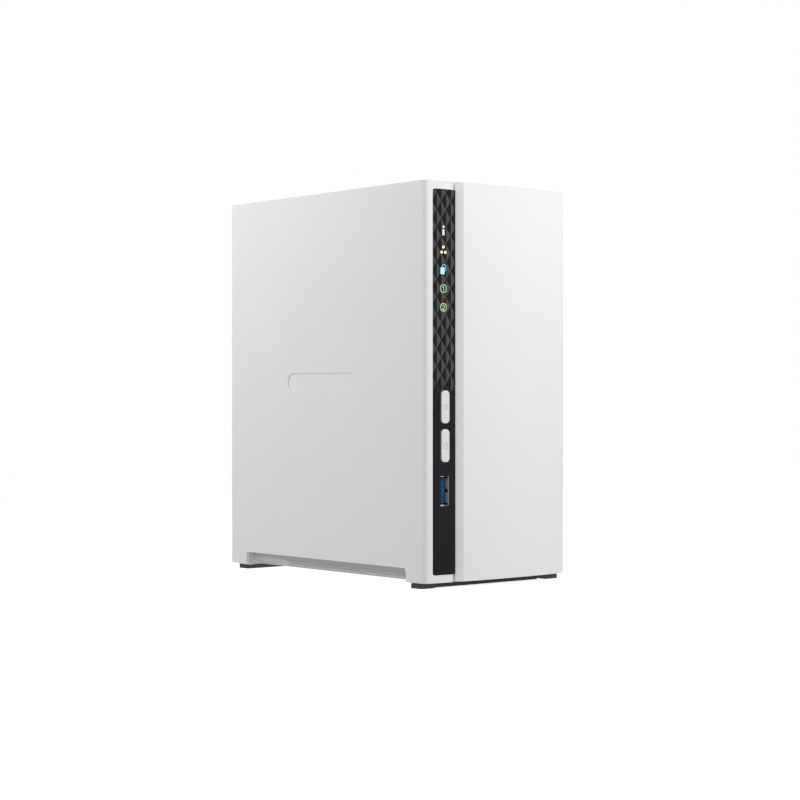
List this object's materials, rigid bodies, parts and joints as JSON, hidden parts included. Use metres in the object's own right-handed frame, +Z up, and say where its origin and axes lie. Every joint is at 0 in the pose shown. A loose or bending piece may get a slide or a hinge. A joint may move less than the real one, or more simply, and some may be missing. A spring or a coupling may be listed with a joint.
{
  "type": "network attached storage",
  "caption": "Desktop network storage box: white casing with sliding cover, black indicator strip with buttons and USB port, drive cage, boards and rear fan inside.",
  "frame": {"origin": "on the resting surface under the middle of the box", "axes": "+Z up, front with the indicator strip towards -Y, +X to the right seen from the front"},
  "size_m": [0.0902, 0.1582, 0.1886],
  "materials": {
    "white_shell": "fine matt moulded ABS",
    "grey_tray": "matt moulded ABS",
    "grille": "matt moulded ABS, perforated",
    "black_gloss": "gloss black with faceted relief",
    "button_plastic": "satin moulded ABS",
    "clear_guide": "clear acrylic",
    "rubber_feet": "dull rubber",
    "dark_plastic": "dull black",
    "blue_plastic": "blue moulded nylon",
    "screw_steel": "zinc plated",
    "port_steel": "tinned steel",
    "gold_contacts": "gold plated",
    "circuit_board": "green solder mask",
    "lamp": "small lamp chips",
    "switch_plastic": "moulded nylon",
    "can_aluminium": "cast or drawn aluminium",
    "cage_steel": "galvanised sheet",
    "fan_plastic": "black moulded plastic"
  },
  "bodies": {
    "chassis": {"backplane": "circuit_board", "base_screws": "screw_steel", "base_tray": "grey_tray", "board_header": "dark_plastic", "board_link": "dark_plastic", "board_screws": "screw_steel", "board_standoffs": "screw_steel", "cage_floor": "cage_steel", "cage_left_plate": "cage_steel", "cage_right_plate": "cage_steel", "cage_top_bar": "cage_steel", "capacitors": "can_aluminium", "cover_screws": "screw_steel", "drive_1_board": "circuit_board", "drive_1_casting": "can_aluminium", "drive_1_lid": "cage_steel", "drive_2_board": "circuit_board", "drive_2_casting": "can_aluminium", "drive_2_lid": "cage_steel", "drive_screws": "screw_steel", "drive_sockets": "dark_plastic", "ethernet_contacts": "gold_contacts", "ethernet_jack": "port_steel", "fan_frame": "fan_plastic", "fan_screws": "screw_steel", "front_board": "circuit_board", "front_feet": "rubber_feet", "front_foot_rail": "dark_plastic", "front_usb_core": "blue_plastic", "front_usb_shell": "port_steel", "heatsink": "can_aluminium", "indicator_panel": "black_gloss", "inductors": "dark_plastic", "intake_grille_left": "grille", "intake_grille_right": "grille", "light_guide": "clear_guide", "main_housing": "white_shell", "mainboard": "circuit_board", "memory_chips": "dark_plastic", "power_inlet": "dark_plastic", "processor": "dark_plastic", "push_switches": "dark_plastic", "rear_foot_bar": "rubber_feet", "rear_panel": "cage_steel", "rear_panel_screws": "screw_steel", "rear_usb_cores": "dark_plastic", "rear_usb_shell_lower": "port_steel", "rear_usb_shell_upper": "port_steel", "reset_switch": "dark_plastic", "status_lamps": "lamp"},
    "cover": {"sliding_cover": "white_shell"},
    "power_key": {"power_button": "button_plastic", "power_switch_stem": "switch_plastic"},
    "copy_key": {"copy_button": "button_plastic", "copy_switch_stem": "switch_plastic"},
    "reset_key": {"reset_button": "switch_plastic"},
    "rotor": {"fan_rotor": "fan_plastic"}
  },
  "joints": [
    {"name": "cover_slide", "type": "slide", "parent": "chassis", "child": "cover", "axis": [0, -1, 0], "range_m": [0, 0.165]},
    {"name": "power_press", "type": "slide", "parent": "chassis", "child": "power_key", "axis": [0, 1, 0], "range_m": [0, 0.0008], "stiffness_N_per_m": 400},
    {"name": "copy_press", "type": "slide", "parent": "chassis", "child": "copy_key", "axis": [0, 1, 0], "range_m": [0, 0.0008], "stiffness_N_per_m": 400},
    {"name": "reset_press", "type": "slide", "parent": "chassis", "child": "reset_key", "axis": [0, -1, 0], "range_m": [0, 0.0005], "stiffness_N_per_m": 400},
    {"name": "fan_spin", "type": "hinge", "parent": "chassis", "child": "rotor", "pos_m": [0, 0.063, 0.136], "axis": [0, 1, 0], "continuous": true}
  ]
}
